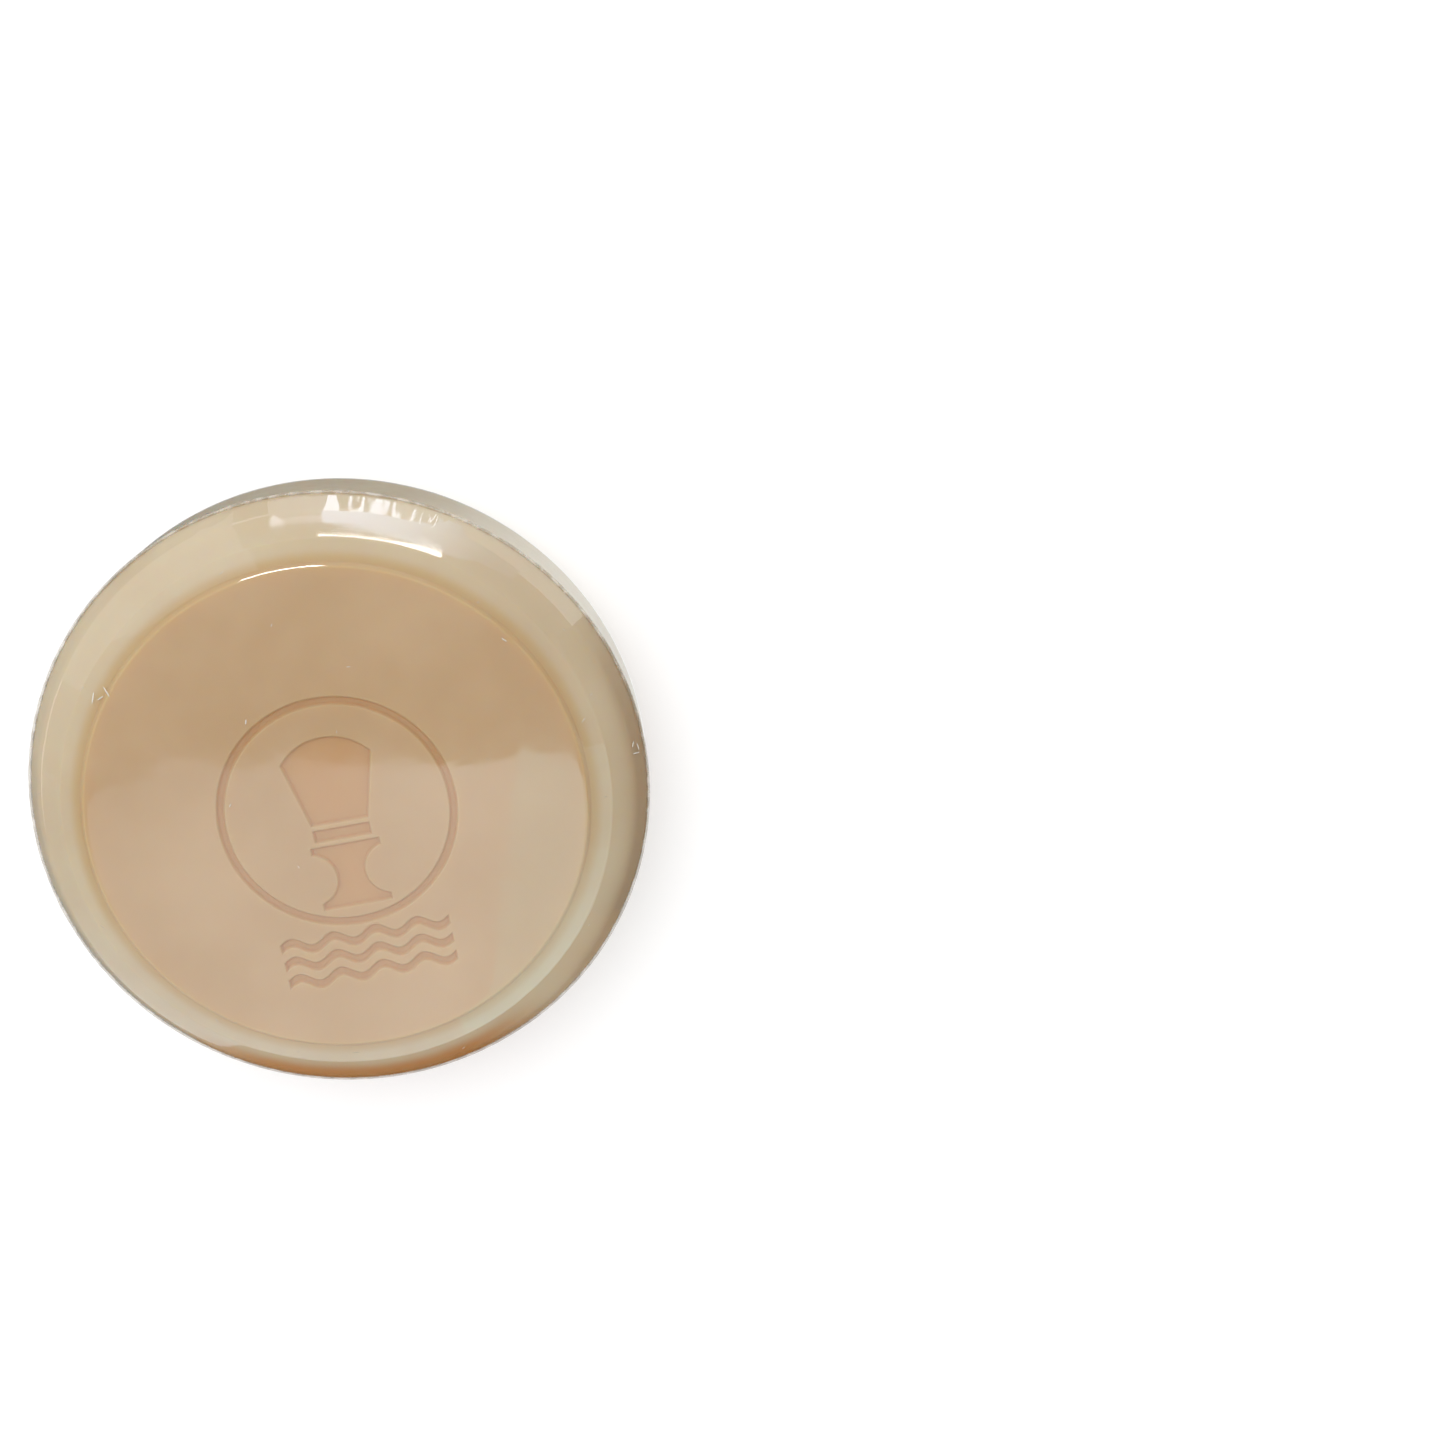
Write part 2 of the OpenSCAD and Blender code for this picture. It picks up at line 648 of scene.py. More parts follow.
class TurningTree(GeometryTree):
    """Turns an outline into a cake, a film shell or a bead, which may swell, ripple and gather.

    The outline's points are sampled round a grid, and each point of the grid is then moved. Lengths
    are metres.
    """

    half_noise: ClassVar[float] = 0.5
    stretch: ClassVar[float] = 5.0
    fold_seed: ClassVar[float] = 7.0
    patch_seed: ClassVar[float] = 19.0
    patch_scale: ClassVar[float] = 1.4
    swell_reach: ClassVar[Span] = (0.0265, 0.0365)
    merge_reach: ClassVar[float] = 0.0000015
    nudge: ClassVar[float] = 0.0001

    def __init__(self) -> None:
        """Writes the whole tree."""
        super().__init__("turned_outline", TurnedSettings().inputs())
        bench, segments = self.bench, self.given("Segments")
        rings = bench.node(
            "GeometryNodeAttributeDomainSize", {"component": "MESH"}, {"Geometry": self.given("Geometry")}
        )
        grid = bench.node("GeometryNodeMeshGrid", None, {"Vertices X": segments + 1, "Vertices Y": rings})
        index = bench.node("GeometryNodeInputIndex")
        segment = (index / rings + self.nudge).floor()
        self.ring = index - segment * rings
        self.turn = segment / segments * math.tau
        place = self.turned("FLOAT_VECTOR", bench.node("GeometryNodeInputPosition"))
        away = self.turned("FLOAT_VECTOR", self.noted("FLOAT_VECTOR", "away"))
        lift = self.ripples(place) + self.gathers(place)
        moved = bench.vector("ADD", place, bench.vector("SCALE", away, lift))
        flat = bench.vector("MULTIPLY", place, (1.0, 1.0, 0.0))
        spread = self.swelling(bench.vector("LENGTH", flat))
        moved = bench.vector("ADD", moved, bench.vector("SCALE", bench.vector("NORMALIZE", flat), spread))
        laid = bench.node("GeometryNodeSetPosition", None, {"Geometry": grid, "Position": moved})
        joined = bench.node(
            "GeometryNodeMergeByDistance", None, {"Geometry": laid, "Distance": self.merge_reach}
        )
        self.close(bench.node("GeometryNodeSetShadeSmooth", None, {"Geometry": joined}))

    def turned(self, kind: str, value: Wire) -> Wire:
        """A vector of the outline at this point's ring, turned to this point's segment.

        Args:
            kind: the vector's data type.
            value: the vector on the outline.

        Returns:
            The turned vector.
        """
        return self.bench.node(
            "ShaderNodeVectorRotate", {"rotation_type": "Z_AXIS"},
            {"Vector": self.sampled(kind, value), "Angle": self.turn},
        )

    def sampled(self, kind: str, value: Wire) -> Wire:
        """A value of the outline at this point's ring.

        Args:
            kind: the value's data type.
            value: the value on the outline.

        Returns:
            The sampled value.
        """
        return self.bench.node(
            "GeometryNodeSampleIndex", {"data_type": kind, "domain": "POINT"},
            {"Geometry": self.given("Geometry"), "Value": value, "Index": self.ring},
        )

    def ripples(self, place: Wire) -> Wire:
        """How far the loose film's soft ripples stand out.

        Args:
            place: the point's place before it is moved.

        Returns:
            The distance.
        """
        swing = self.bench.cloud(
            place, 1 / self.given("Wave width"), W=self.given("Seed"), Detail=3.0, Roughness=0.5
        ) - self.half_noise
        loose = self.sampled("FLOAT", self.noted("FLOAT", "loose"))
        return swing * loose * self.given("Wave height") * 2.0

    def gathers(self, place: Wire) -> Wire:
        """How far the film's gathers stand out. They come in patches, and bunch at one turn.

        Args:
            place: the point's place before it is moved.

        Returns:
            The distance.
        """
        height = self.bench.part_of(place, "Z") * self.stretch
        about = self.bench.node(
            "ShaderNodeCombineXYZ", None, {"X": self.turn.cos(), "Y": self.turn.sin(), "Z": height}
        )
        seed = self.given("Seed")
        folds = self.bench.cloud(
            about, self.given("Gather count") / math.tau, W=seed + self.fold_seed, Detail=1.0, Roughness=0.5
        ) - self.half_noise
        patches = self.bench.cloud(about, self.patch_scale, W=seed + self.patch_seed, Detail=0.0)
        patches = patches.ramp(0.45, 0.7, 0.1, 0.7)
        bunched = (self.turn - self.given("Gather turn")).cos().ramp(0.94, 0.99, 0.0, 1.1)
        gathered = self.sampled("FLOAT", self.noted("FLOAT", "gathered"))
        most = patches.maths("MAXIMUM", patches, bunched)
        return folds * most * gathered * self.given("Gather depth") * 2.0

    def swelling(self, reach: Wire) -> Wire:
        """How far the puck is out of round, which is most at one turn and nothing on its face.

        Args:
            reach: the point's distance from the axis.

        Returns:
            The distance that the point moves away from the axis.
        """
        facing = (self.turn - self.given("Swell turn")).cos()
        return reach.ramp(*self.swell_reach) * self.given("Swell") * ((facing + 1) / 2) ** 4.0


class FoldsTree(GeometryTree):
    """Lays a small raised fold of film at each point of a mesh.

    The points carry the fold's turn as a rotation, and half its length, width and height as a scale.
    """

    fineness: ClassVar[int] = 10

    def __init__(self) -> None:
        """Writes the whole tree."""
        super().__init__("small_folds", {"Fineness": self.fineness})
        bench = self.bench
        ball = bench.node(
            "GeometryNodeMeshUVSphere", None,
            {"Segments": self.given("Fineness"), "Rings": self.given("Fineness"), "Radius": 1.0},
        )
        turn = bench.node("FunctionNodeEulerToRotation", None, {0: self.noted("FLOAT_VECTOR", "turn")})
        self.close(bench.node(
            "GeometryNodeInstanceOnPoints", None,
            {"Points": bench.node("GeometryNodeMeshToPoints", None, {0: self.given("Geometry")}),
             "Instance": bench.node("GeometryNodeSetShadeSmooth", None, {"Geometry": ball}),
             "Rotation": turn, "Scale": self.noted("FLOAT_VECTOR", "size")},
        ))


# ---- Finishes. Their lengths are metres, because a material works in the scene's own units.


def new_material(name: str) -> tuple[bpy.types.Material, Bench]:
    """Makes an empty node material.

    Args:
        name: its name.

    Returns:
        The material, and the bench that writes its tree.
    """
    material = bpy.data.materials.new(name)
    material.use_nodes = True
    material.node_tree.nodes.clear()
    return material, Bench(material.node_tree)


@dataclass(frozen=True)
class SoapFinish:
    """Pressed milled soap: waxy, a little translucent, and paler outside the step. Painted shade makes it
    warmer in the pressed mark's hollows and along the foot of the step.

    Painted shade also deepens the low bevel's colour on one side of the cake, and dulls the whole shoulder on
    another.
    """

    body: Colour = linear(187, 157, 119)
    pale: Colour = linear(194, 166, 130)
    edge: Colour = linear(194, 176, 146)
    edge_pale: Colour = linear(201, 186, 157)
    # Painted shade in the pressed mark's hollows.
    warm: Colour = linear(192, 148, 100)
    # Painted shade along the foot of the step.
    hollow: Colour = linear(190, 160, 110)
    # Painted shade on the bottom side of the low bevel.
    deep: Colour = linear(182, 122, 62)
    # Painted shade on one side of the shoulder.
    dull: Colour = linear(158, 126, 90)
    edge_from: Span = (0.0278, 0.0302)
    step_r: float = 0.02895
    step_half: float = 0.0014
    # The side and the heights where the painted shade on the bottom lies.
    bottom_shade_toward: Place = (-0.10, -0.995, 0.0)
    bottom_shade_height: Span = (0.0215, 0.0199)
    # The side and the heights where the painted shade on the shoulder lies.
    side_shade_toward: Place = (0.976, -0.218, 0.0)
    side_shade_height: Span = (0.0212, 0.0186)
    cloud_scale: float = 55.0
    grain_scale: float = 500.0
    smear_scale: Place = (300.0, 40.0, 40.0)
    roughness: Span = (0.44, 0.62)
    bump: float = 0.05
    bump_depth: float = 0.00012
    gloss: float = 0.25
    glow: float = 0.6
    glow_spread: Place = (1.0, 0.5, 0.22)
    glow_reach: float = 0.005

    def tint(self, bench: Bench, smear: Wire) -> Wire:
        """Mixes the soap's colour from its tints and its painted shade.

        Args:
            bench: the material's tree.
            smear: the pale streaks, from 0 to 1.

        Returns:
            The colour.
        """
        place = bench.here()
        cloud = bench.cloud(place, self.cloud_scale, Detail=3.0, Roughness=0.55).ramp(0.3, 0.7)
        flat = bench.vector("MULTIPLY", place, (1.0, 1.0, 0.0))
        reach, around = bench.vector("LENGTH", flat), bench.vector("NORMALIZE", flat)
        height = bench.part_of(place, "Z")
        # A ring of painted shade at the foot of the step.
        step = 1.0 - ((reach - self.step_r).abs() / self.step_half).ramp(0.0, 1.0)
        # How far the soap is pressed in, which lays painted shade in the mark's hollows.
        sunk = bench.node("ShaderNodeAttribute", {"attribute_name": "sunk"}, None, "Fac")
        # Painted shade on the bottom side of the low bevel.
        bottom_shade_toward = bench.vector("DOT_PRODUCT", around, self.bottom_shade_toward).ramp(0.76, 0.96)
        # Painted shade on one side of the shoulder.
        side_shade_toward = bench.vector("DOT_PRODUCT", around, self.side_shade_toward).ramp(0.72, 0.97)
        face = bench.mix(cloud, self.body, self.pale)
        colour = bench.mix(reach.ramp(*self.edge_from), face, bench.mix(cloud, self.edge, self.edge_pale))
        # Each amount lays one tint: painted shade at the step's foot, in the mark's hollows, on the
        # shoulder's side and on the low bevel's bottom, then the soap's own pale streaks.
        for amount, tint in (
            (step * 0.62, self.hollow),
            (sunk * 0.7, self.warm),
            (height.ramp(*self.side_shade_height) * side_shade_toward * 0.6, self.dull),
            (height.ramp(*self.bottom_shade_height) * bottom_shade_toward * 0.85, self.deep),
            (smear.ramp(0.55, 0.8) * 0.12, self.pale),
        ):
            colour = bench.mix(amount, colour, tint)
        return colour

    def make(self) -> bpy.types.Material:
        """Builds the material.

        Returns:
            The material.
        """
        material, bench = new_material("pressed_soap")
        grain = bench.cloud(bench.here(), self.grain_scale, Detail=1.5, Roughness=0.5)
        stretched = bench.node("ShaderNodeMapping", None, {"Vector": bench.here(), "Scale": self.smear_scale})
        smear = bench.cloud(stretched, 1.0, Detail=2.0)
        bump = bench.node(
            "ShaderNodeBump", None,
            {"Strength": self.bump, "Distance": self.bump_depth, "Height": grain * 0.6 + smear * 0.4},
        )
        shader = bench.node(
            "ShaderNodeBsdfPrincipled", None,
            {"Base Color": self.tint(bench, smear), "Roughness": grain.ramp(0.2, 0.8, *self.roughness),
             "Subsurface Weight": self.glow, "Subsurface Radius": self.glow_spread,
             "Subsurface Scale": self.glow_reach, "Specular IOR Level": self.gloss, "Normal": bump},
        )
        bench.node("ShaderNodeOutputMaterial", None, {"Surface": shader})
        return material


@dataclass(frozen=True)
class FilmFinish:
    """Clear shrink film: it shows what is under it and mirrors what is round it.

    It lies on the soap as two walls, so only the outer one mirrors, with the strength of both.
    """

    head_on: float = 0.045
    grazing: float = 0.5
    roughness: Span = (0.035, 0.0875)
    ripple: float = 0.02
    ripple_depth: float = 0.00003
    ripple_scale: float = 420.0
    cloud_scale: float = 140.0

    def make(self) -> bpy.types.Material:
        """Builds the material.

        Returns:
            The material.
        """
        material, bench = new_material("shrink_film")
        bump = bench.node(
            "ShaderNodeBump", None,
            {"Strength": self.ripple, "Distance": self.ripple_depth,
             "Height": bench.cloud(bench.here(), self.ripple_scale, Detail=2.0)},
        )
        turned_away = bench.node("ShaderNodeLayerWeight", None, {"Blend": 0.5, "Normal": bump}, "Facing")
        single = self.head_on + (self.grazing - self.head_on) * turned_away ** 5.0
        both = 2.0 * single / (1.0 + single)
        behind = bench.node("ShaderNodeNewGeometry", None, None, "Backfacing")
        cloud = bench.cloud(bench.here(), self.cloud_scale, Detail=1.0)
        mirror = bench.node(
            "ShaderNodeBsdfGlossy", None,
            {"Color": rgba(WHITE), "Roughness": cloud.ramp(0.35, 0.7, *self.roughness), "Normal": bump},
        )
        clear = bench.node("ShaderNodeBsdfTransparent", None, {"Color": rgba(WHITE)})
        shader = bench.node("ShaderNodeMixShader", None, {0: both * (1.0 - behind), 1: clear, 2: mirror})
        bench.node("ShaderNodeOutputMaterial", None, {"Surface": shader})
        return material


@dataclass(frozen=True)
class SeamFinish:
    """Welded, gathered or creased film: cloudy and half clear. On the seam bead, its darker grey is partly
    painted shade, for the thin shadow line along the seam.
    """

    name: str = "welded_film"
    # Partly the weld's own cloudiness, partly painted shade for the shadow line along the seam.
    colour: Colour = linear(176, 166, 148)
    pale: Colour = linear(226, 221, 211)
    clear: float = 0.38
    spot_scale: float = 700.0
    roughness: Span = (0.12, 0.35)
    bump: float = 0.4
    bump_depth: float = 0.00008

    def make(self) -> bpy.types.Material:
        """Builds the material.

        Returns:
            The material.
        """
        material, bench = new_material(self.name)
        spots = bench.cloud(bench.here(), self.spot_scale, Detail=2.0)
        bump = bench.node(
            "ShaderNodeBump", None, {"Strength": self.bump, "Distance": self.bump_depth, "Height": spots}
        )
        shader = bench.node(
            "ShaderNodeBsdfPrincipled", None,
            {"Base Color": bench.mix(spots.ramp(0.4, 0.65), self.colour, self.pale),
             "Roughness": spots.ramp(0.3, 0.7, *self.roughness), "Alpha": self.clear, "Normal": bump},
        )
        bench.node("ShaderNodeOutputMaterial", None, {"Surface": shader})
        return material


@dataclass(frozen=True)
class FloorFinish:
    """The studio's plain pale floor."""

    colour: Colour = (0.72, 0.72, 0.72)
    lift: float = 0.34

    def make(self) -> bpy.types.Material:
        """Builds the material.

        Returns:
            The material.
        """
        material, bench = new_material("pale_floor")
        shader = bench.node(
            "ShaderNodeBsdfPrincipled", None,
            {"Base Color": rgba(self.colour), "Roughness": 0.9, "Specular IOR Level": 0.1,
             "Emission Color": rgba(WHITE), "Emission Strength": self.lift},
        )
        bench.node("ShaderNodeOutputMaterial", None, {"Surface": shader})
        return material


@dataclass(frozen=True)
class Fade:
    """How a card's light changes along x: from its own strength at the start to the last one at the end."""

    start: float
    end: float
    last: float


@dataclass(frozen=True)
class CardFinish:
    """A reflector card that gives off an even light, or one that fades along x."""

    colour: Colour
    strength: float
    fade: Optional[Fade]

    def make(self) -> bpy.types.Material:
        """Builds the material.

        Returns:
            The material.
        """
        material, bench = new_material("card")
        sockets = {"Color": rgba(self.colour), "Strength": self.strength}
        if self.fade:
            across = bench.part_of(bench.here(), "X")
            amount = across.ramp(self.fade.start, self.fade.end, self.strength, self.fade.last)
            sockets = {"Color": bench.vector("SCALE", self.colour, amount), "Strength": 1.0}
        shader = bench.node("ShaderNodeEmission", None, sockets)
        bench.node("ShaderNodeOutputMaterial", None, {"Surface": shader})
        return material


# ---- The pressed mark


@dataclass
class PressedMark:
    """A ring, a shaving brush and waves, as a distance field and the patch of soap that carries them.

    The patch has close rows of points along the mark's outline and an open net elsewhere.
    """

    face_z: float
    sizes: MarkSizes = field(default_factory=MarkSizes)
    patch_r: float = 24.0
    draft: float = 0.18
    levels: tuple[float, ...] = (-0.25, -0.18, -0.11, -0.04, 0.04, 0.11, 0.18, 0.25)
    spacing: float = 0.11
    open_spacing: float = 0.8
    search: float = 0.05
    border_gap: float = 0.5
    outline_gap: float = 0.45

    def distance(self, x: np.ndarray, y: np.ndarray) -> np.ndarray:
        """Signed distance to the mark's outline, below zero inside it.

        Args:
            x: places across the face.
            y: places up the face.

        Returns:
            The distances.
        """
        m = self.sizes
        ring = np.abs(np.hypot(x, y) - (m.ring_d - m.ring_line) / 2) - m.ring_line / 2
        return np.minimum.reduce([ring, *self.brush(x, y), *self.waves(x, y)])

    def brush(self, x: np.ndarray, y: np.ndarray) -> list[np.ndarray]:
        """Signed distances to the brush's fan of bristles, its collar and its handle.

        Args:
            x: places across the face.
            y: places up the face.

        Returns:
            One set of distances for each of the three.
        """
        m = self.sizes
        low, high = m.collar_y + m.gap, m.collar_y + m.fan_h
        run = (m.fan_w - m.collar_w) / 2
        slope = math.hypot(run, high - low)
        side = ((np.abs(x) - m.collar_w / 2) * (high - low) - (y - low) * run) / slope
        dome_y = low + m.fan_h / 2 - m.dome_drop
        fan = np.maximum.reduce([side, low - y, np.hypot(x, y - dome_y) - m.dome_d / 2])
        collar = self.box(x, y - m.collar_y + m.collar_h / 2, m.collar_w / 2, m.collar_h / 2)
        middle = m.collar_y - m.collar_h - m.gap - m.handle_h / 2
        handle = self.box(x, y - middle, m.handle_w / 2, m.handle_h / 2)
        notch = m.notch_r - np.hypot(np.abs(x) - m.waist_w / 2 - m.notch_r, y - middle)
        return [fan, collar, np.maximum(handle, notch)]

    def waves(self, x: np.ndarray, y: np.ndarray) -> list[np.ndarray]:
        """Signed distances to the waves.

        Args:
            x: places across the face.
            y: places up the face.

        Returns:
            One set of distances for each wave.
        """
        m = self.sizes
        turn = math.tau * m.wave_cycles / m.wave_len
        phase = turn * (x + m.wave_len / 2)
        lean = np.cos(np.arctan(m.wave_rise * turn * np.cos(phase)))
        found = []
        for i in range(m.wave_count):
            centre = -m.wave_drop + (i - (m.wave_count - 1) / 2) * m.wave_pitch
            strip = (np.abs(y - centre - m.wave_rise * np.sin(phase)) - m.wave_line / 2) * lean
            found.append(np.maximum(strip, np.abs(x) - m.wave_len / 2))
        return found

    @staticmethod
    def box(x: np.ndarray, y: np.ndarray, half_w: float, half_h: float) -> np.ndarray:
        """Signed distance to a rectangle about the origin."""
        dx, dy = np.abs(x) - half_w, np.abs(y) - half_h
        return np.hypot(np.maximum(dx, 0), np.maximum(dy, 0)) + np.minimum(np.maximum(dx, dy), 0)

    def sunk(self, gap: np.ndarray) -> np.ndarray:
        """How far the soap is pressed in at a distance from the outline, from 0 to 1."""
        t = np.clip((self.draft - gap) / (2 * self.draft), 0, 1)
        return t * t * (3 - 2 * t)

    def row(self, level: float, x: np.ndarray, y: np.ndarray) -> np.ndarray:
        """Moves places near one distance from the outline onto it, and keeps one in each small square.

        Args:
            level: the distance.
            x: places across the face.
            y: places up the face.

        Returns:
            The row of places.
        """
        step, least_slope, close = 0.002, 0.3, 0.004
        for _ in range(3):
            value = self.distance(x, y)
            across = (self.distance(x + step, y) - value) / step
            up = (self.distance(x, y + step) - value) / step
            size = np.maximum(across * across + up * up, least_slope)
            x, y = x - (value - level) * across / size, y - (value - level) * up / size
        good = np.abs(self.distance(x, y) - level) < close
        places = np.stack([x[good], y[good]], 1)
        _, keep = np.unique(np.floor(places / self.spacing).astype(int), axis=0, return_index=True)
        return places[np.sort(keep)]

    def points(self) -> np.ndarray:
        """Places of the patch's points.

        Returns:
            The places.
        """
        axis = np.arange(-self.patch_r, self.patch_r, self.search)
        x, y = (grid.ravel() for grid in np.meshgrid(axis, axis))
        near = self.distance(x, y)
        rows = []
        for level in self.levels:
            pick = np.abs(near - level) < self.search * 0.8
            rows.append(self.row(level, x[pick], y[pick]))
        net = np.arange(-self.patch_r, self.patch_r, self.open_spacing)
        x, y = np.meshgrid(net, net * math.sqrt(0.75))
        x = (x + (np.arange(len(net)) % 2)[:, None] * self.open_spacing / 2).ravel()
        y = y.ravel()
        inside = np.hypot(x, y) < self.patch_r - self.border_gap
        away = np.abs(self.distance(x, y)) > self.outline_gap
        rows.append(np.stack([x[inside & away], y[inside & away]], 1))
        return np.concatenate(rows)

    def patch(self, segments: int) -> tuple[np.ndarray, list[list[int]]]:
        """Makes the disc of soap that carries the mark.

        Args:
            segments: how many points its border has.

        Returns:
            The points and the faces.
        """
        turns = np.arange(segments) * math.tau / segments
        border = np.stack([np.cos(turns), np.sin(turns)], 1) * self.patch_r
        flat = np.concatenate([border, self.points()])
        verts, _, faces, *_ = geometry.delaunay_2d_cdt([Vector(p) for p in flat], [], [], 0, 1e-5)
        at = np.array([tuple(v) for v in verts])
        high = self.face_z - self.sizes.depth * self.sunk(self.distance(at[:, 0], at[:, 1]))
        return np.column_stack([at, high]), [list(f) for f in faces]


# ---- The object's pieces


@dataclass
class SoapCake:
    """The pressed cake of soap, with its mark."""

    puck: PuckSizes
    finish: SoapFinish = field(default_factory=SoapFinish)
    segments: int = 400
    spacing: float = 0.9
    swing: float = 0.035
    swing_scale: float = 70.0
    swing_seed: Place = (3.1, 0.4, 7.7)
    swing_out: float = 0.5
    swing_up: float = 0.6
    weld: float = 0.01

    def __post_init__(self) -> None:
        """Puts the mark on the soap's face."""
        self.mark = PressedMark(self.puck.soap_h + self.puck.film_t)

    def outline(self) -> Outline:
        """The outline from the mark's patch over the rim to the middle of the back.

        Returns:
            The outline.
        """
        p, c = self.puck, self.puck.corners()
        top, waist = p.soap_h / 2, (p.soap_d / 2, 0.0)
        front = [(self.mark.patch_r, top)]
        for before, corner, after, radius, steps in (
            ((0.0, top), c["face"], c["foot"], p.edge_r / 2, 6),
            (c["face"], c["foot"], c["ledge"], p.foot_r, 4),
            (c["foot"], c["ledge"], c["knee"], p.edge_r, 8),
            (c["ledge"], c["knee"], c["rim"], p.knee_r, 8),
            (c["knee"], c["rim"], waist, p.rim_r, 8),
        ):
            front += rounded(before, corner, after, radius, steps)
        whole = filled(front + mirrored(front) + [(0.0, -top)], self.spacing)
        return Outline(whole, outward(whole))

    def build(self, tree: GeometryTree, settings: TurnedSettings) -> bpy.types.Object:
        """Turns the cake, sets the pressed patch into it, and makes its skin a little uneven.

        Args:
            tree: the turning tree.
            settings: the settings shared by all turned pieces.

        Returns:
            The cake.
        """
        material = self.finish.make()
        carrier = self.outline().mesh("cake_outline", self.puck.mid_z)
        values = {**replace(settings, segments=self.segments).inputs(), "Finish": material}
        cake = tree.run(carrier, "soap_cake", values)
        work = bmesh.new()
        work.from_mesh(cake.data)
        points, faces = self.mark.patch(self.segments)
        fresh = [work.verts.new(Vector(p) * MM) for p in points]
        for face in faces:
            work.faces.new([fresh[i] for i in face])
        bmesh.ops.remove_doubles(work, verts=work.verts, dist=self.weld * MM)
        bmesh.ops.recalc_face_normals(work, faces=work.faces)
        for vert in work.verts:
            swing = self.swing * MM * noise.fractal(
                vert.co * self.swing_scale + Vector(self.swing_seed), 0.8, 2.0, 3)
            vert.co += vert.co.normalized() * swing * self.swing_out
            vert.co.z += swing * self.swing_up
        for face in work.faces:
            face.smooth = True
        work.to_mesh(cake.data)
        work.free()
        self.note_sunk(cake.data)
        cake.data.materials.clear()
        cake.data.materials.append(material)
        return cake

    def note_sunk(self, mesh: bpy.types.Mesh) -> None:
        """Stores on each point how far it is pressed in, for the finish.

        Args:
            mesh: the cake's mesh.
        """
        at = np.empty(len(mesh.vertices) * 3, np.float32)
        mesh.vertices.foreach_get("co", at)
        x, y, z = (at.reshape(-1, 3) / MM).T
        front = (z > self.puck.mid_z) & (np.hypot(x, y) < self.mark.patch_r)
        note(mesh, "sunk", np.where(front, self.mark.sunk(self.mark.distance(x, y)), 0.0))


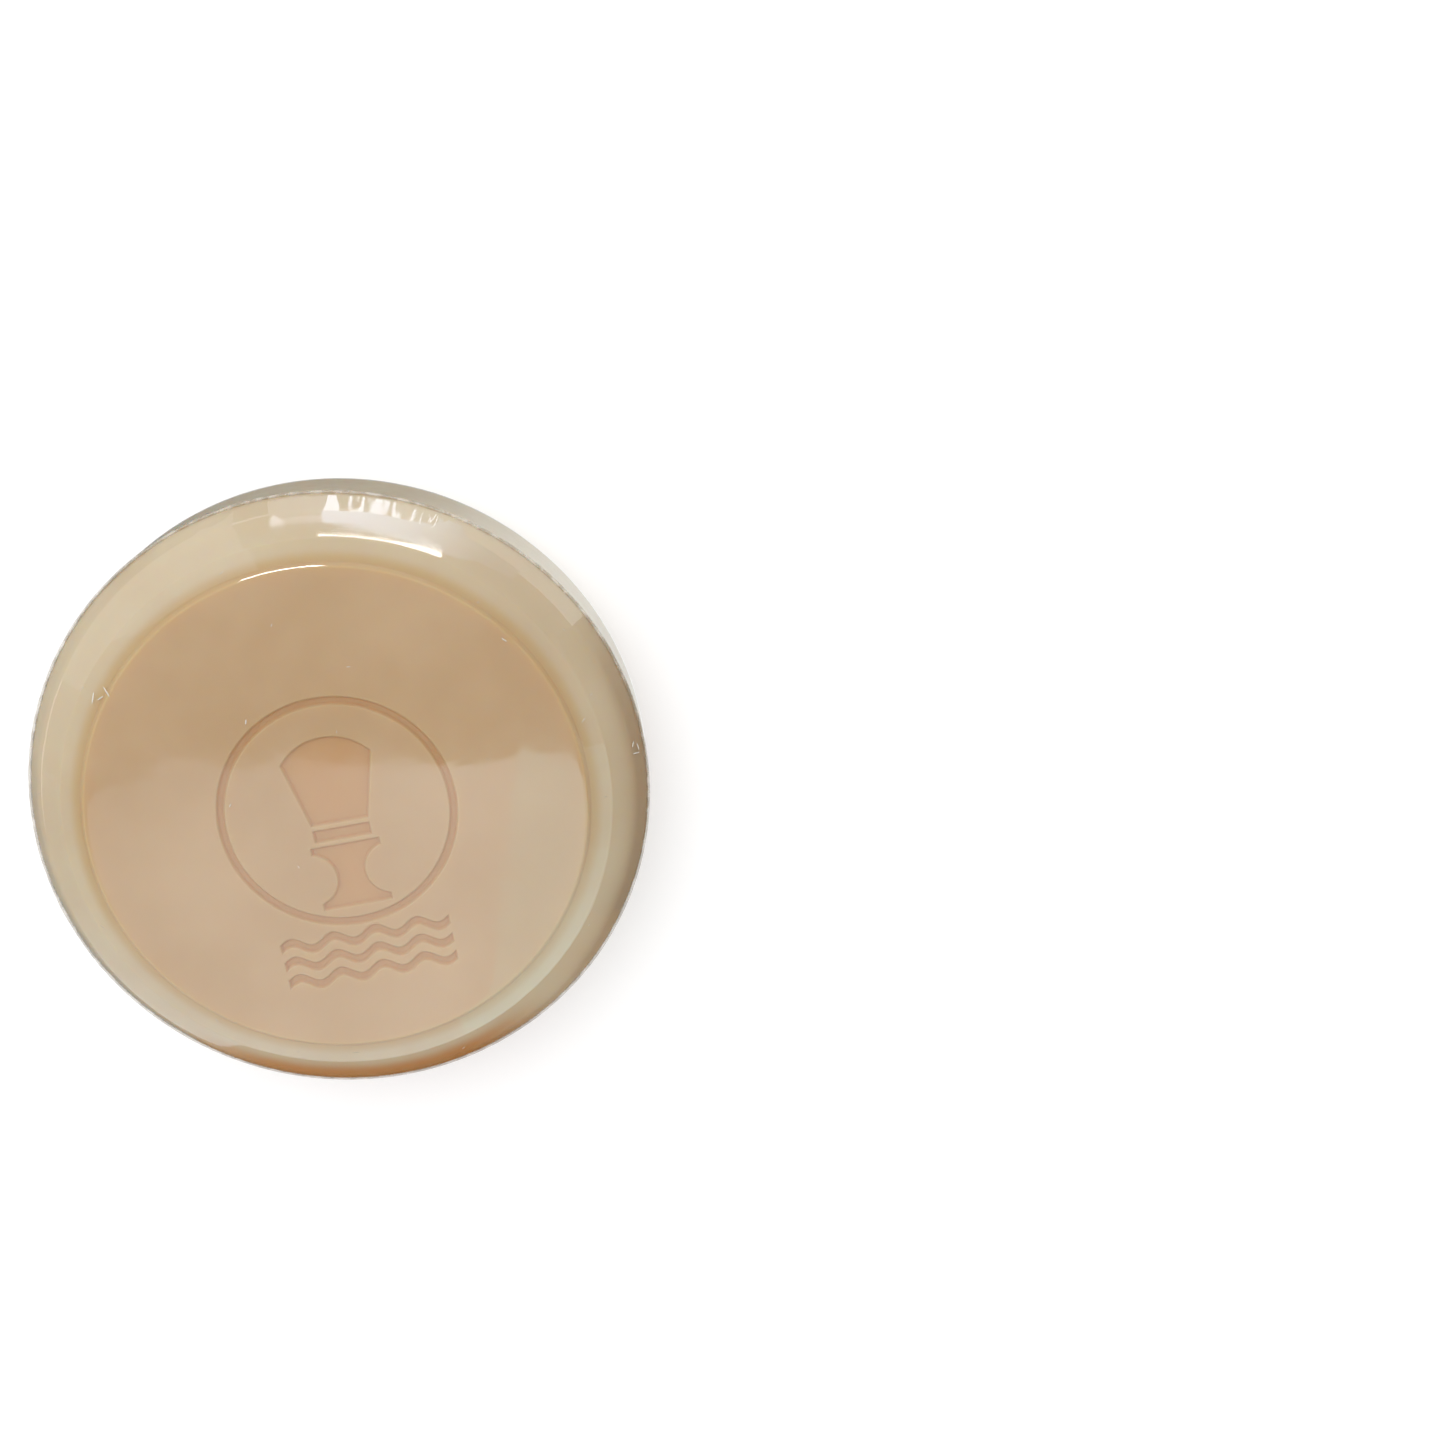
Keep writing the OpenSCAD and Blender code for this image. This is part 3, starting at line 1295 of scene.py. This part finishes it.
@dataclass
class FilmWrap:
    """The two shells of clear film and the crimped seam that joins them."""

    puck: PuckSizes
    clear: FilmFinish = field(default_factory=FilmFinish)
    weld: SeamFinish = field(default_factory=SeamFinish)
    wall: float = 0.04
    face_r: float = 2.6
    ledge_r: float = 3.0
    front_spacing: float = 0.8
    back_spacing: float = 1.3
    taut_from: float = 27.0
    taut: float = 0.6
    seam_spread: Span = (0.6, 4.2)
    waist_spread: Span = (34.0, 35.3)
    waist_gather: float = 0.25
    bead_h: float = 0.3
    bead_out: float = 0.2
    bead_sides: int = 12
    pleat_depth: float = 0.12
    pleat_count: float = 170.0

    def half(self) -> list[Point]:
        """Outline of the film's outer face from the axis to the waist. It bridges the step.

        Returns:
            The outline.
        """
        p, c = self.puck, self.puck.corners()
        face, ledge, knee, rim = (shift(c[name], p.film_t) for name in ("face", "ledge", "knee", "rim"))
        top, waist, rim = (0.0, face[1]), (rim[0], 0.0), (rim[0], p.rim_z)
        points = [top]
        for before, corner, after, radius, steps in (
            (top, face, ledge, self.face_r, 10),
            (face, ledge, knee, self.ledge_r, 6),
            (ledge, knee, rim, p.knee_r, 8),
            (knee, rim, waist, p.rim_r, 10),
        ):
            points += rounded(before, corner, after, radius, steps)
        return points

    def looseness(self, radius: float, height: float) -> float:
        """How freely the film ripples, which is most over the face."""
        return 1.0 if radius < self.taut_from else self.taut

    def gathering(self, radius: float, height: float) -> float:
        """How strongly the film is gathered, which is most at the seam and some at the waist.

        Args:
            radius: the point's distance from the axis.
            height: its height over the middle plane.

        Returns:
            The strength.
        """
        from_seam = math.hypot(radius - self.puck.soap_d / 2, height - self.puck.rim_z)
        at_seam = 1 - between(from_seam, *self.seam_spread)
        return at_seam + self.waist_gather * between(radius, *self.waist_spread)

    def shell(self, path: Sequence[Point], spacing: float) -> Outline:
        """Gives a path along the film its two walls, joined at the rim.

        Args:
            path: the outer wall's outline, with one end on the axis.
            spacing: the greatest distance between points.

        Returns:
            The closed outline.
        """
        outer = filled(path, spacing)
        normals = outward(outer)
        for end in (0, -1):
            if outer[end][0] == 0:
                normals[end] = (0.0, math.copysign(1.0, outer[end][1]))
        inner = [tuple(place) for place in np.array(outer) - normals * self.wall]
        if outer[0][0] == 0:
            points, away = outer + inner[::-1], np.concatenate([normals, normals[::-1]])
        else:
            points, away = inner[::-1] + outer, np.concatenate([normals[::-1], normals])
        return Outline(points, away, self.looseness, self.gathering)

    def bead(self, middle: Point) -> Outline:
        """Outline of the seam's bead, round one point of the film.

        Args:
            middle: the point.

        Returns:
            The closed outline.
        """
        turns = np.linspace(math.pi / 2, -math.pi * 1.5, self.bead_sides + 1)
        away = np.array([(math.cos(turn), math.sin(turn)) for turn in turns])
        ring = np.array(middle) + away * (self.bead_out, self.bead_h)
        return Outline([tuple(place) for place in ring], away, gathered=lambda radius, height: 1.0)

    def build(self, tree: GeometryTree, settings: TurnedSettings) -> list[bpy.types.Object]:
        """Makes the two shells and the seam.

        Args:
            tree: the turning tree.
            settings: the settings shared by all turned pieces.

        Returns:
            The front film, the back film and the seam.
        """
        film, weld = self.clear.make(), self.weld.make()
        path = self.half()
        on_waist = [i for i, (radius, _) in enumerate(path) if radius >= self.waist_spread[0]]
        split = min(on_waist, key=lambda i: abs(path[i][1] - self.puck.rim_z))
        pleats = replace(settings, gather_depth=self.pleat_depth * MM, gather_count=self.pleat_count)
        pieces = []
        for name, outline, shared, finish in (
            ("front_film_shell", self.shell(path[: split + 1], self.front_spacing), settings, film),
            ("back_film_shell", self.shell(path[split:] + mirrored(path), self.back_spacing), settings, film),
            ("film_seam_bead", self.bead(path[split]), pleats, weld),
        ):
            carrier = outline.mesh(name + "_outline", self.puck.mid_z)
            pieces.append(tree.run(carrier, name, {**shared.inputs(), "Finish": finish}))
            set_outward(pieces[-1])
        return pieces


@dataclass(frozen=True)
class Crease:
    """One short raised crease: its distance from the axis, its turn about it, its lean and its size.

    The turn and the lean are degrees.
    """

    reach: float
    around: float
    lean: float
    length: float
    half_w: float = 0.09
    half_h: float = 0.05


@dataclass
class FilmCreases:
    """Short raised creases in the film: a few in known places, and fine ones scattered over it."""

    wrap: FilmWrap
    finish: SeamFinish = field(default_factory=lambda: SeamFinish(
        "creased_film", linear(222, 214, 200), linear(240, 236, 228), 0.6))
    known: tuple[Crease, ...] = (
        Crease(29.7, 143.0, 20.0, 1.4), Crease(28.6, 140.0, 65.0, 1.5), Crease(28.9, 142.0, -30.0, 0.9),
        Crease(34.4, 359.0, 80.0, 1.6), Crease(34.7, 360.0, 15.0, 1.1), Crease(34.2, 361.0, -40.0, 0.8),
        Crease(14.5, 122.0, 40.0, 0.6), Crease(12.0, 165.0, -20.0, 0.5), Crease(27.6, 36.0, 10.0, 0.7),
    )
    scattered: int = 26
    on_shoulder: Span = (29, 35.2)
    on_face: Span = (5, 27)
    shoulder_share: float = 0.75
    fine_w: float = 0.045
    fine_h: float = 0.03
    spacing: float = 0.1
    seed: int = 11

    def creases(self) -> list[Crease]:
        """The known creases, and the scattered ones.

        Returns:
            All the creases.
        """
        draw = np.random.default_rng(self.seed)
        found = list(self.known)
        shares = [self.shoulder_share, 1 - self.shoulder_share]
        for _ in range(self.scattered):
            reach = draw.choice([draw.uniform(*self.on_shoulder), draw.uniform(*self.on_face)], p=shares)
            rest = [float(draw.uniform(*span)) for span in ((0, 360), (-90, 90), (0.3, 0.8))]
            found.append(Crease(float(reach), *rest, self.fine_w, self.fine_h))
        return found

    def build(self, tree: GeometryTree) -> bpy.types.Object:
        """Lays the creases on the front film.

        Args:
            tree: the tree that lays a fold at each point.

        Returns:
            The creases, as one mesh.
        """
        puck = self.wrap.puck
        path = np.array(filled(self.wrap.half(), self.spacing))
        away = outward(path)
        front = path[:, 1] > puck.rim_z
        places, turns, sizes = [], [], []
        for crease in self.creases():
            i = int(np.argmin(np.where(front, np.abs(path[:, 0] - crease.reach), np.inf)))
            turn = Matrix.Rotation(math.radians(crease.around), 3, "Z")
            normal = turn @ Vector((away[i, 0], 0.0, away[i, 1]))
            level = turn @ Vector((0.0, 1.0, 0.0))
            along = Matrix.Rotation(math.radians(crease.lean), 3, normal) @ level
            axes = Matrix((along, normal.cross(along), normal)).transposed()
            places.append(turn @ Vector((path[i, 0], 0.0, path[i, 1] + puck.mid_z)) * MM)
            turns.append(axes.to_euler())
            sizes.append((crease.length / 2 * MM, crease.half_w * MM, crease.half_h * MM))
        carrier = mesh_of("crease_places", places)
        note(carrier.data, "turn", turns)
        note(carrier.data, "size", sizes)
        return tree.run(carrier, "film_creases", {"Finish": self.finish.make()})


# ---- The studio


class Across(Enum):
    """The axis that a card stands across."""

    X = 0
    Y = 1
    Z = 2


@dataclass(frozen=True)
class Card:
    """A flat card that only mirrors see: the axis that it stands across, its place there and its outline.

    The outline's points are its other two coordinates, in order. The fade is in metres.
    """

    name: str
    across: Across
    place: float
    outline: tuple[Point, ...]
    colour: Colour
    strength: float
    fade: Optional[Fade] = None

    def corner(self, point: Point) -> Place:
        """A corner of the outline, in metres."""
        sizes = [*point[:self.across.value], self.place, *point[self.across.value:]]
        return tuple(size * MM for size in sizes)

    def build(self) -> None:
        """Makes the card, which only mirrors see."""
        corners = [self.corner(point) for point in self.outline]
        card = mesh_of(self.name, corners, [range(len(corners))])
        card.data.materials.append(CardFinish(self.colour, self.strength, self.fade).make())
        card.visible_camera = card.visible_diffuse = card.visible_shadow = False
        card.visible_transmission = card.visible_volume_scatter = False


@dataclass
class Studio:
    """The floor, the soft light, the reflector cards and the camera. Its own sizes are metres.

    The cards stand for what the film mirrors: a pale table and a dark box in front of the puck, and the
    window, its bars and a lamp behind it.
    """

    floor_size: float = 6.0
    key_place: Place = (-0.12, 0.54, 0.86)
    key_power: float = 4.2
    key_size: float = 0.8
    light_from: Place = (-0.25, 0.45, 0.86)
    shade: Colour = (0.40, 0.39, 0.38)
    light: Colour = (0.94, 0.94, 0.95)
    room_from: Place = (-0.86, 0.50, 0.12)
    room: Colour = (0.20, 0.18, 0.16)
    room_bright: Colour = (0.22, 0.22, 0.23)
    backdrop: Colour = (0.95, 0.95, 0.95)
    eye: Place = (0.040285, 0.065226, 0.252795)
    ahead: Place = (0.01866, -0.26397, -0.96435)
    up: Place = (0.17808, 0.94997, -0.25659)
    lens: float = 52.34
    sensor: float = 36.0
    in_front: float = -36.8
    behind: float = 75.0
    window: Colour = (0.9, 1.0, 1.2)
    bars: tuple[Span, ...] = (
        (6.8, 12.0), (14.8, 18.0), (21.0, 25.0), (28.0, 30.4), (33.0, 34.6), (37.4, 38.4), (41.2, 42.0),
    )

    def build(self) -> None:
        """Sets up the whole studio."""
        self.lay_floor()
        self.hang_lights()
        for card in self.front_cards() + self.back_cards():
            card.build()
        self.place_camera()
        bpy.context.scene.view_settings.view_transform = "Standard"

    def front_cards(self) -> list[Card]:
        """The cards for the table and the dark box in front, the table under the puck, and its far ends.

        Returns:
            The cards.
        """
        table = ((-900, 0), (-900, 330), (-400, 172), (-135, 122), (-78, 196), (-67, 214), (9, 166), (9, 0))
        shade = ((-60, 0), (-20, 22), (5, 22.3), (15, 23), (26, 24.4), (40, 27), (60, 36), (60, 0))
        return [
            Card("table_card", Across.Y, self.in_front, table,
                 (0.88, 0.93, 1.0), 1.25, Fade(-0.005, -0.125, 0.28)),
            Card("side_card", Across.Y, self.in_front, ((9, 0), (9, 175), (34, 148), (60, 135), (60, 0)),
                 (0.76, 1.03, 1.06), 1.4, Fade(0.030, 0.058, 0.7)),
            Card("left_card", Across.X, -900, ((-36.8, 0), (15, 0), (15, 75), (-36.8, 330)),
                 (0.9, 0.95, 1.0), 0.4),
            Card("shade_card", Across.Y, -36.4, shade, (1.0, 0.45, 0.12), 0.25),
            Card("dark_card", Across.X, 40, ((-36, 0), (19, 0), (19, 27), (-36, 25)), (1.0, 0.6, 0.3), 0.05),
            Card("edge_card", Across.X, 70, ((-60, 42), (-8, 43), (-8, 112), (-60, 112)),
                 (0.80, 1.03, 1.02), 0.55),
            Card("ground_card", Across.Z, 0.3, ((-200, -200), (200, -200), (200, 200), (-200, 200)),
                 (0.97, 1.0, 0.98), 0.2, Fade(0.012, 0.034, 0.98)),
        ]

    def back_cards(self) -> list[Card]:
        """The cards for the window, its sill and its bars, and the lamps behind the puck.

        Returns:
            The cards.
        """
        y = self.behind
        cards = [
            Card("top_card", Across.Y, y, ((6.6, 21), (34, 20), (44, 0), (95, 0), (95, 62), (6.0, 42)),
                 (0.86, 1.06, 1.42), 3.1, Fade(0.006, 0.075, 0.4)),
            Card("pale_card", Across.Y, y + 0.4, ((-8, 0), (6.6, 0), (6.6, 36), (-8, 36)),
                 (0.9, 1.0, 1.15), 0.9),
            Card("far_card", Across.Y, y + 0.4, ((-200, 0), (-20, 0), (-20, 75), (-200, 100)),
                 (0.95, 1.0, 1.1), 0.5),
            Card("glint_card", Across.Y, y, ((-9.5, 41), (-5.0, 41), (-7.0, 20)), self.window, 3.0),
            Card("sill_card", Across.Y, y, ((-5.0, 35), (6.0, 36), (6.0, 42), (-5.0, 41)), self.window, 1.4),
            Card("strip_card", Across.Y, y + 0.5, ((4.5, 44.8), (50, 51.5), (50, 54), (4.5, 47.9)),
                 WHITE, 12.0),
            Card("lamp_card", Across.Z, 173, ((-47, 68), (-7, 70), (-7, 84), (-47, 82)), WHITE, 14.0),
        ]
        for i, (low, high) in enumerate(self.bars):
            outline = ((low, 0), (high, 0), (high, 21), (low, 21))
            cards.append(Card(f"bar_card_{i}", Across.Y, y, outline, (0.92, 1.03, 1.25), 4.7))
        return cards

    def lay_floor(self) -> None:
        """Lays the pale floor."""
        half = self.floor_size / 2
        corners = [(-half, -half, 0), (half, -half, 0), (half, half, 0), (-half, half, 0)]
        floor = mesh_of("floor", corners, [range(4)])
        floor.data.materials.append(FloorFinish().make())

    def hang_lights(self) -> None:
        """Hangs the key light and fills the room with a soft light that differs a little by direction."""
        light = bpy.data.lights.new("key", "AREA")
        light.shape, light.size, light.energy = "DISK", self.key_size, self.key_power
        key = linked("key", light)
        key.location = self.key_place
        key.rotation_euler = (-Vector(self.key_place)).to_track_quat("-Z", "Y").to_euler()
        key.visible_glossy = False
        world = bpy.data.worlds.new("room")
        bpy.context.scene.world = world
        world.use_nodes = True
        world.node_tree.nodes.clear()
        bench = Bench(world.node_tree)
        way = bench.node("ShaderNodeTexCoord", None, None, "Generated")
        lit = bench.vector("DOT_PRODUCT", way, Vector(self.light_from).normalized()).ramp(-0.7, 0.9)
        bright = bench.vector("DOT_PRODUCT", way, Vector(self.room_from).normalized()).ramp(0.80, 0.91)
        seen_in_film = bench.node("ShaderNodeLightPath", None, None, "Is Glossy Ray")
        seen_plainly = bench.node("ShaderNodeLightPath", None, None, "Is Camera Ray")
        glow = bench.mix(lit, self.shade, self.light)
        glow = bench.mix(seen_in_film, glow, bench.mix(bright, self.room, self.room_bright))
        glow = bench.mix(seen_plainly, glow, self.backdrop)
        back = bench.node("ShaderNodeBackground", None, {"Color": glow, "Strength": 1.0})
        bench.node("ShaderNodeOutputWorld", None, {"Surface": back})

    def place_camera(self) -> None:
        """Places the camera."""
        data = bpy.data.cameras.new("camera")
        data.lens, data.sensor_width = self.lens, self.sensor
        data.clip_start, data.clip_end = 0.01, 20.0
        camera = linked("camera", data)
        back = -Vector(self.ahead).normalized()
        side = Vector(self.up).cross(back).normalized()
        turn = Matrix((side, back.cross(side), back)).transposed().to_4x4()
        camera.matrix_world = Matrix.Translation(self.eye) @ turn
        bpy.context.scene.camera = camera


def attach(piece: bpy.types.Object, node: Optional[str] = None) -> None:
    """Makes a piece ride on the puck, in place of a node of the part if it stands for one.

    Args:
        piece: the piece.
        node: the node that it stands for.
    """
    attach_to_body(piece, BODY)
    if node:
        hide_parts(node)
    LOG.info("%s in place of %s: %d faces", piece.name, node or "nothing", len(piece.data.polygons))


def main() -> None:
    """Builds the puck and its studio."""
    logging.basicConfig(level=logging.INFO, format="%(name)s: %(message)s")
    puck, settings, tree = PuckSizes.from_frame(), TurnedSettings(), TurningTree()
    attach(SoapCake(puck).build(tree, settings), "soap_puck")
    wrap = FilmWrap(puck)
    front, back, seam = wrap.build(tree, settings)
    attach(front, "front_film")
    attach(back, "back_film")
    attach(seam, "film_seam")
    attach(FilmCreases(wrap).build(FoldsTree()))
    Studio().build()


if __name__ == "__main__":
    main()
